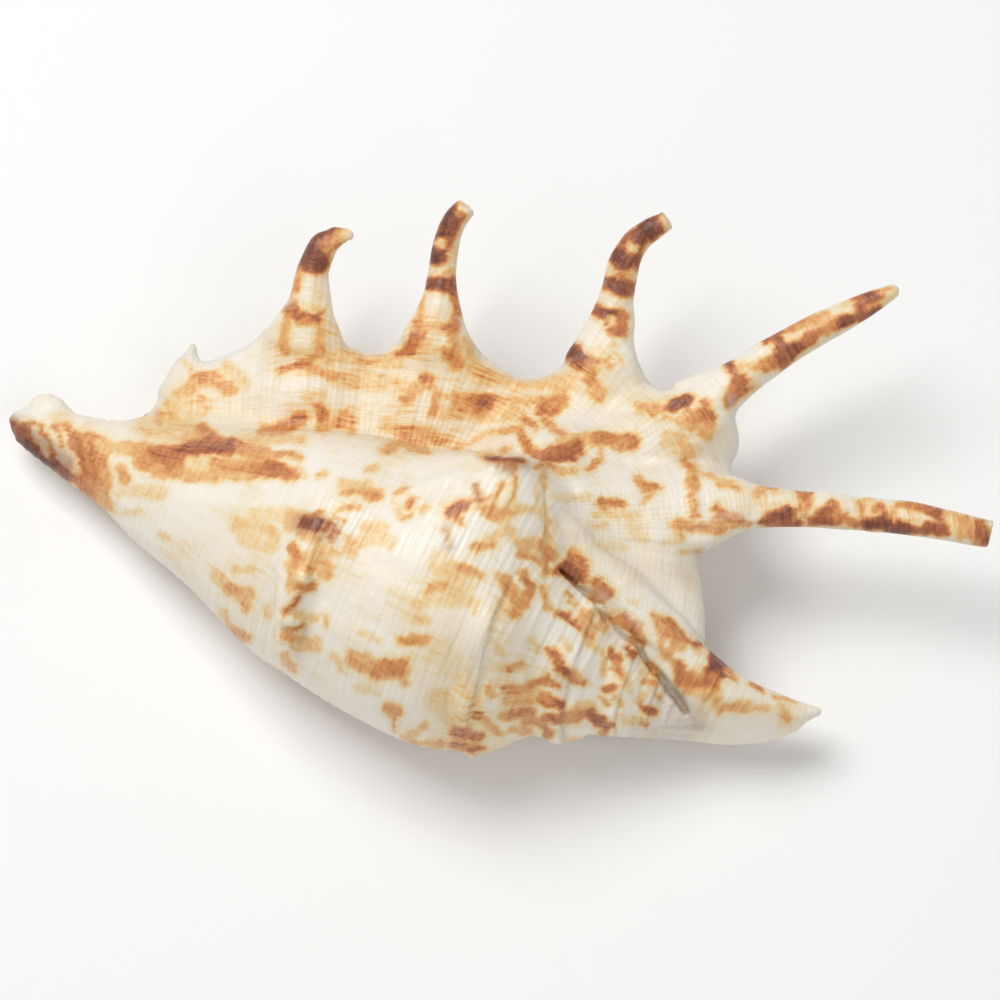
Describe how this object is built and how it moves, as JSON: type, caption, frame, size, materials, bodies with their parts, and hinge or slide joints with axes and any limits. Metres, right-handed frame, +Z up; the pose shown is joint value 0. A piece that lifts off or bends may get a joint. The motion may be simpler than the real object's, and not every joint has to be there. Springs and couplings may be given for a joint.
{
  "type": "spider conch shell",
  "caption": "Spiral sea shell with a flared lip that ends in long hooked fingers, lying mouth down with its knobbed back up.",
  "frame": {"origin": "bottom centre of the bounding box, on the surface the shell rests on", "axes": "+X along the coiling axis towards the pointed spire, +Y towards the fingered lip, +Z up through the back"},
  "size_m": [0.1818, 0.1168, 0.0528],
  "materials": {
    "shell": "satin"
  },
  "bodies": {
    "root": {"shell": "shell"}
  },
  "joints": []
}
